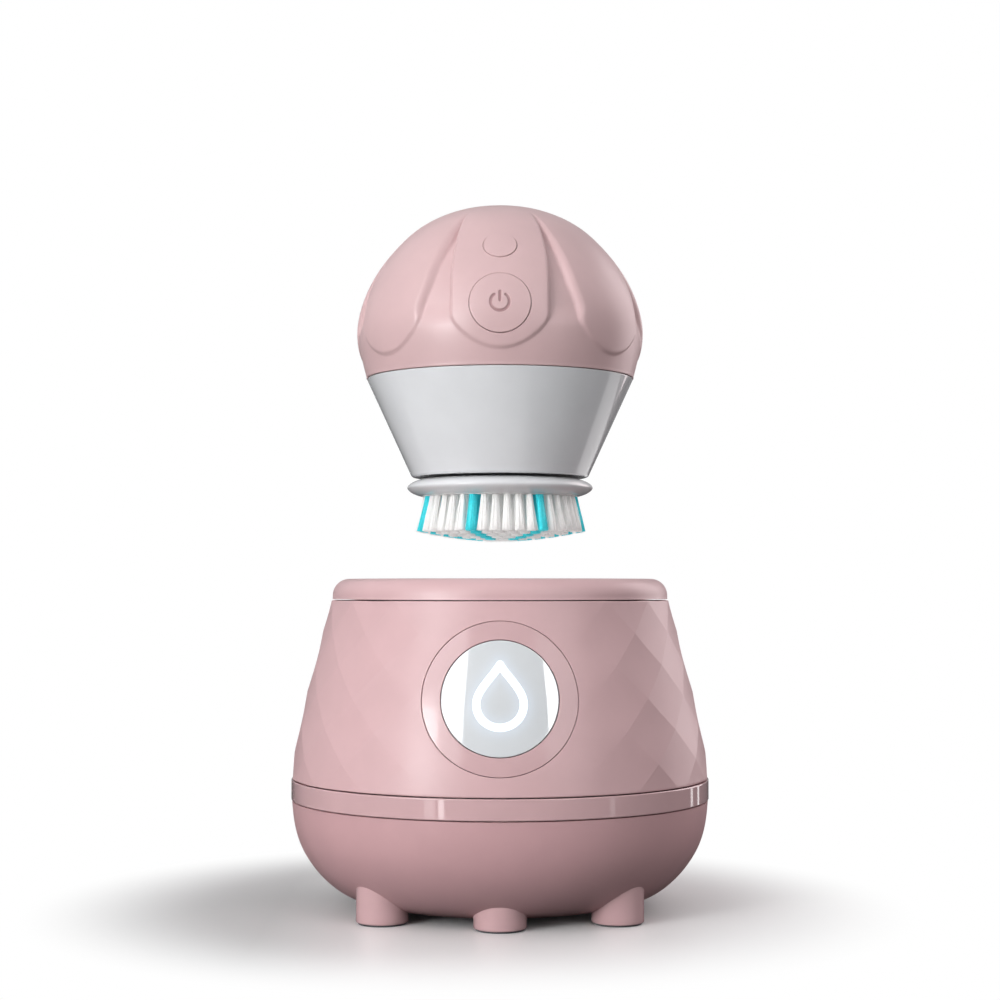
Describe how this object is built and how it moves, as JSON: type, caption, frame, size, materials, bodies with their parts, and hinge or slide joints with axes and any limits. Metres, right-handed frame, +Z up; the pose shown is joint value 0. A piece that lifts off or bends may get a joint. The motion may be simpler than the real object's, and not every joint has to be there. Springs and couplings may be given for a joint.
{
  "type": "facial cleansing brush",
  "caption": "Palm-held facial cleansing brush with a spinning tufted head, lifted above its round charging, drying and UV cleaning dock.",
  "frame": {"origin": "on the common axis of brush and dock, at the underside of the dock's feet", "axes": "+Z up along the axis, -Y towards the front with the buttons and the status window, +X to the viewer's right"},
  "size_m": [0.114, 0.114, 0.1919],
  "materials": {
    "pink_soft": "satin soft-touch moulding",
    "pink_satin": "satin",
    "pink_gloss": "polished",
    "grey_gloss": "polished",
    "white_plastic": "satin",
    "bristle_white": "fine nylon filament",
    "bristle_cyan": "fine nylon filament",
    "lens_white": "polished translucent",
    "glow_white": "lit from behind",
    "steel": "plain",
    "brass": "turned",
    "copper_winding": "enamelled wire",
    "circuit_board": "solder mask",
    "black_plastic": "moulded",
    "seal_rubber": "moulded",
    "natural_nylon": "moulded",
    "battery_wrap": "shrink sleeve"
  },
  "bodies": {
    "dock": {"body_shell": "pink_satin", "window_bezel": "pink_gloss", "window_lens": "lens_white", "rim_ring": "pink_gloss", "band_ring": "pink_gloss", "bowl_shell": "pink_satin", "foot_1": "pink_satin", "foot_2": "pink_satin", "foot_3": "pink_satin", "foot_4": "pink_satin", "foot_5": "pink_satin", "foot_6": "pink_satin", "well_cup": "white_plastic", "uv_window": "lens_white", "uv_led_board": "circuit_board", "charge_coil": "copper_winding", "drop_light_guide": "glow_white", "window_led_board": "circuit_board", "fan_housing": "black_plastic", "dock_board": "circuit_board", "power_inlet": "black_plastic", "base_screw_1": "steel", "base_screw_2": "steel", "base_screw_3": "steel"},
    "fan": {"fan_rotor": "black_plastic"},
    "handle": {"dome_shell": "pink_soft", "collar_shell": "grey_gloss", "button_seal": "seal_rubber", "button_board": "circuit_board", "power_switch": "steel", "speed_switch": "steel", "body_seal": "seal_rubber", "base_plate": "white_plastic", "chassis_deck": "natural_nylon", "chassis_screw_1": "steel", "chassis_screw_2": "steel", "chassis_screw_3": "steel", "lower_bearing": "steel", "shaft_seal": "seal_rubber", "upper_bush": "brass", "receiver_coil": "copper_winding", "motor": "steel", "control_board": "circuit_board", "battery": "battery_wrap"},
    "power_key": {"power_button": "pink_soft"},
    "speed_key": {"speed_button": "pink_soft"},
    "spindle_drive": {"spindle": "steel", "drive_gear": "natural_nylon"},
    "motor_rotor": {"motor_pinion": "brass"},
    "brush_head": {"head_flange": "grey_gloss", "tuft_plate": "white_plastic", "white_bristles": "bristle_white", "cyan_row_1": "bristle_cyan", "cyan_row_2": "bristle_cyan", "cyan_row_3": "bristle_cyan", "cyan_row_4": "bristle_cyan", "cyan_row_5": "bristle_cyan", "cyan_row_6": "bristle_cyan", "cyan_row_7": "bristle_cyan"}
  },
  "joints": [
    {"name": "brush_lift", "type": "slide", "parent": "dock", "child": "handle", "axis": [0, 0, 1], "range_m": [-0.054, 0]},
    {"name": "head_spin", "type": "hinge", "parent": "handle", "child": "spindle_drive", "pos_m": [0, 0, 0.12], "axis": [0, 0, 1], "continuous": true},
    {"name": "pinion_spin", "type": "hinge", "parent": "handle", "child": "motor_rotor", "pos_m": [0, 0.01625, 0.125], "axis": [0, 0, 1], "continuous": true},
    {"name": "head_release", "type": "slide", "parent": "spindle_drive", "child": "brush_head", "axis": [0, 0, -1], "range_m": [0, 0.0065]},
    {"name": "power_press", "type": "slide", "parent": "handle", "child": "power_key", "axis": [0, 0.9925, -0.1219], "range_m": [0, 0.0007], "stiffness_N_per_m": 2000},
    {"name": "speed_press", "type": "slide", "parent": "handle", "child": "speed_key", "axis": [0, 0.7986, -0.6018], "range_m": [0, 0.0006], "stiffness_N_per_m": 2000},
    {"name": "fan_spin", "type": "hinge", "parent": "dock", "child": "fan", "pos_m": [0, 0, 0.018], "axis": [0, 0, 1], "continuous": true}
  ],
  "couplings": [
    {"joint": "pinion_spin", "follows": "head_spin", "ratio": -4}
  ]
}
